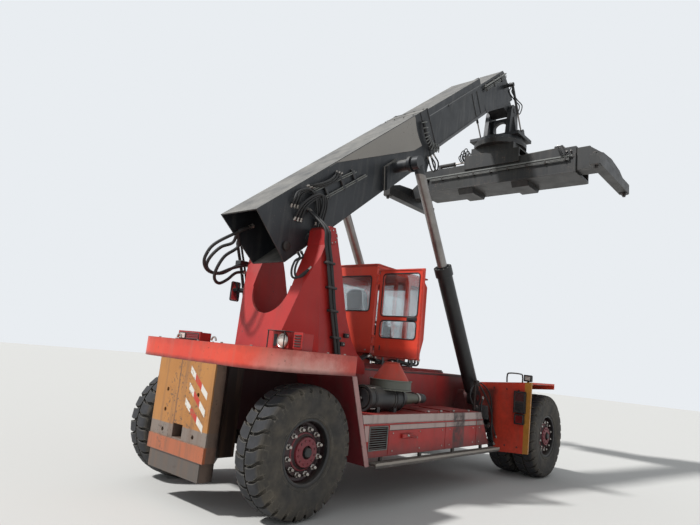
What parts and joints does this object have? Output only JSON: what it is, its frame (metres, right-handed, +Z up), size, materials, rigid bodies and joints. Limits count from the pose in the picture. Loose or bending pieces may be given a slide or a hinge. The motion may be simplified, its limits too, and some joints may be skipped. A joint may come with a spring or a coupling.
{
  "type": "reach stacker",
  "caption": "Container handler with a telescopic lifting boom, steered rear wheels, twin front wheels, a sliding cab and a turning spreader that lengthens.",
  "frame": {"origin": "middle of the whole machine's box, on the ground under the wheels", "axes": "+X runs forward, +Y to the left, +Z up"},
  "size_m": [10.2363, 6.053, 10.1549],
  "materials": {
    "red_paint": "worn satin",
    "ochre_casting": "painted, worn",
    "dark_paint": "dusty satin",
    "bare_steel": "dull",
    "engine_casting": "matt",
    "black_plastic": "matt",
    "window_glass": "clear",
    "seat_fabric": "matt",
    "chrome_rod": "polished",
    "tyre_rubber": "dusty"
  },
  "bodies": {
    "chassis": {"main_frame": "red_paint", "frame_tail": "red_paint", "tower": "red_paint", "rear_deck": "red_paint", "deck_lamps": "red_paint", "counterweight": "ochre_casting", "wheel_guards": "red_paint", "side_box_left": "red_paint", "side_box_right": "red_paint", "running_boards": "bare_steel", "engine_block": "engine_casting", "air_cleaner": "black_plastic", "cab_rails": "red_paint", "steer_axle": "dark_paint", "drive_axle": "dark_paint", "front_mudguards": "red_paint", "lamp_boxes": "black_plastic"},
    "knuckle_left": {"knuckle_left": "bare_steel"},
    "knuckle_right": {"knuckle_right": "bare_steel"},
    "rear_wheel_left": {"rear_tyre_left": "tyre_rubber", "rear_rim_left": "red_paint"},
    "rear_wheel_right": {"rear_tyre_right": "tyre_rubber", "rear_rim_right": "red_paint"},
    "front_wheels_left": {"front_tyres_left": "tyre_rubber", "front_rims_left": "red_paint"},
    "front_wheels_right": {"front_tyres_right": "tyre_rubber", "front_rims_right": "red_paint"},
    "cab": {"cab_shell": "red_paint", "cab_glass": "window_glass", "operator_seat": "seat_fabric"},
    "door": {"cab_door": "red_paint", "door_glass": "window_glass"},
    "boom": {"boom_outer": "dark_paint"},
    "boom_extension": {"boom_inner": "dark_paint", "boom_nose": "dark_paint"},
    "head": {"head_yoke": "dark_paint"},
    "rotator": {"rotator": "dark_paint"},
    "spreader": {"spreader_frame": "dark_paint"},
    "arm_left": {"spreader_arm_left": "dark_paint"},
    "arm_right": {"spreader_arm_right": "dark_paint"},
    "lift_barrel_left": {"lift_barrel_left": "dark_paint"},
    "lift_barrel_right": {"lift_barrel_right": "dark_paint"},
    "lift_rod_left": {"lift_rod_left": "chrome_rod"},
    "lift_rod_right": {"lift_rod_right": "chrome_rod"},
    "damper_barrel_left": {"damper_barrel_left": "dark_paint"},
    "damper_barrel_right": {"damper_barrel_right": "dark_paint"},
    "damper_rod_left": {"damper_rod_left": "chrome_rod"},
    "damper_rod_right": {"damper_rod_right": "chrome_rod"}
  },
  "joints": [
    {"name": "steer_left", "type": "hinge", "parent": "chassis", "child": "knuckle_left", "pos_m": [-4.11793, 1.12, 0.86], "axis": [0, 0, 1], "range_deg": [-48, 48]},
    {"name": "steer_right", "type": "hinge", "parent": "chassis", "child": "knuckle_right", "pos_m": [-4.11793, -1.12, 0.86], "axis": [0, 0, 1], "range_deg": [-48, 48]},
    {"name": "rear_roll_left", "type": "hinge", "parent": "knuckle_left", "child": "rear_wheel_left", "pos_m": [-4.11793, 1.3, 0.86], "axis": [0, 1, 0], "continuous": true},
    {"name": "rear_roll_right", "type": "hinge", "parent": "knuckle_right", "child": "rear_wheel_right", "pos_m": [-4.11793, -1.3, 0.86], "axis": [0, 1, 0], "continuous": true},
    {"name": "front_roll_left", "type": "hinge", "parent": "chassis", "child": "front_wheels_left", "pos_m": [2.68207, 1.557, 0.86], "axis": [0, 1, 0], "continuous": true},
    {"name": "front_roll_right", "type": "hinge", "parent": "chassis", "child": "front_wheels_right", "pos_m": [2.68207, -1.557, 0.86], "axis": [0, 1, 0], "continuous": true},
    {"name": "cab_slide", "type": "slide", "parent": "chassis", "child": "cab", "axis": [1, 0, 0], "range_m": [0, 1.1]},
    {"name": "cab_door", "type": "hinge", "parent": "cab", "child": "door", "pos_m": [-1.96793, -0.76, 2.23], "axis": [0, 0, 1], "range_deg": [0, 90]},
    {"name": "boom_lift", "type": "hinge", "parent": "chassis", "child": "boom", "pos_m": [-3.41793, 0, 3.95], "axis": [0, -1, 0], "range_deg": [-39, 19]},
    {"name": "telescope", "type": "slide", "parent": "boom", "child": "boom_extension", "axis": [-0.7771, 0, -0.6293], "range_m": [-2.83, 0]},
    {"name": "head_pitch", "type": "hinge", "parent": "boom_extension", "child": "head", "pos_m": [3.89844, 0, 9.29563], "axis": [0, -1, 0], "range_deg": [-20, 40]},
    {"name": "rotation", "type": "hinge", "parent": "head", "child": "rotator", "pos_m": [3.89844, 0, 8.3], "axis": [0, 0, 1], "range_deg": [-105, 195]},
    {"name": "side_shift", "type": "slide", "parent": "rotator", "child": "spreader", "axis": [0, 1, 0], "range_m": [-0.8, 0.8]},
    {"name": "arm_slide_left", "type": "slide", "parent": "spreader", "child": "arm_left", "axis": [0, 1, 0], "range_m": [0, 3.066]},
    {"name": "arm_slide_right", "type": "slide", "parent": "spreader", "child": "arm_right", "axis": [0, -1, 0], "range_m": [0, 3.066]},
    {"name": "lift_foot_left", "type": "hinge", "parent": "chassis", "child": "lift_barrel_left", "pos_m": [1.23207, 1.03, 1.55], "axis": [0, -1, 0], "range_deg": [-0.97, 1.48]},
    {"name": "lift_rod_left", "type": "slide", "parent": "lift_barrel_left", "child": "lift_rod_left", "axis": [-0.5377, 0, 0.8431], "range_m": [-1.7697, 0.8632]},
    {"name": "damper_top_left", "type": "hinge", "parent": "boom_extension", "child": "damper_barrel_left", "pos_m": [3.22439, 0.6, 9.71487], "axis": [0, -1, 0], "range_deg": [-9.05, 18.05]},
    {"name": "damper_rod_left", "type": "slide", "parent": "damper_barrel_left", "child": "damper_rod_left", "axis": [0.5243, 0, -0.8516], "range_m": [-0.0995, 0.2021]},
    {"name": "lift_foot_right", "type": "hinge", "parent": "chassis", "child": "lift_barrel_right", "pos_m": [1.23207, -1.03, 1.55], "axis": [0, -1, 0], "range_deg": [-0.97, 1.48]},
    {"name": "lift_rod_right", "type": "slide", "parent": "lift_barrel_right", "child": "lift_rod_right", "axis": [-0.5377, 0, 0.8431], "range_m": [-1.7697, 0.8632]},
    {"name": "damper_top_right", "type": "hinge", "parent": "boom_extension", "child": "damper_barrel_right", "pos_m": [3.22439, -0.6, 9.71487], "axis": [0, -1, 0], "range_deg": [-9.05, 18.05]},
    {"name": "damper_rod_right", "type": "slide", "parent": "damper_barrel_right", "child": "damper_rod_right", "axis": [0.5243, 0, -0.8516], "range_m": [-0.0995, 0.2021]}
  ],
  "couplings": [
    {"joint": "steer_right", "follows": "steer_left", "ratio": 1},
    {"joint": "head_pitch", "follows": "boom_lift", "ratio": -1},
    {"joint": "arm_slide_right", "follows": "arm_slide_left", "ratio": 1},
    {"joint": "lift_foot_left", "follows": "boom_lift", "ratio": -0.025},
    {"joint": "lift_rod_left", "follows": "boom_lift", "m_per_rad": 2.597},
    {"joint": "damper_top_left", "follows": "boom_lift", "ratio": -0.45},
    {"joint": "damper_rod_left", "follows": "boom_lift", "m_per_rad": -0.294},
    {"joint": "lift_foot_right", "follows": "boom_lift", "ratio": -0.025},
    {"joint": "lift_rod_right", "follows": "boom_lift", "m_per_rad": 2.597},
    {"joint": "damper_top_right", "follows": "boom_lift", "ratio": -0.45},
    {"joint": "damper_rod_right", "follows": "boom_lift", "m_per_rad": -0.294}
  ]
}
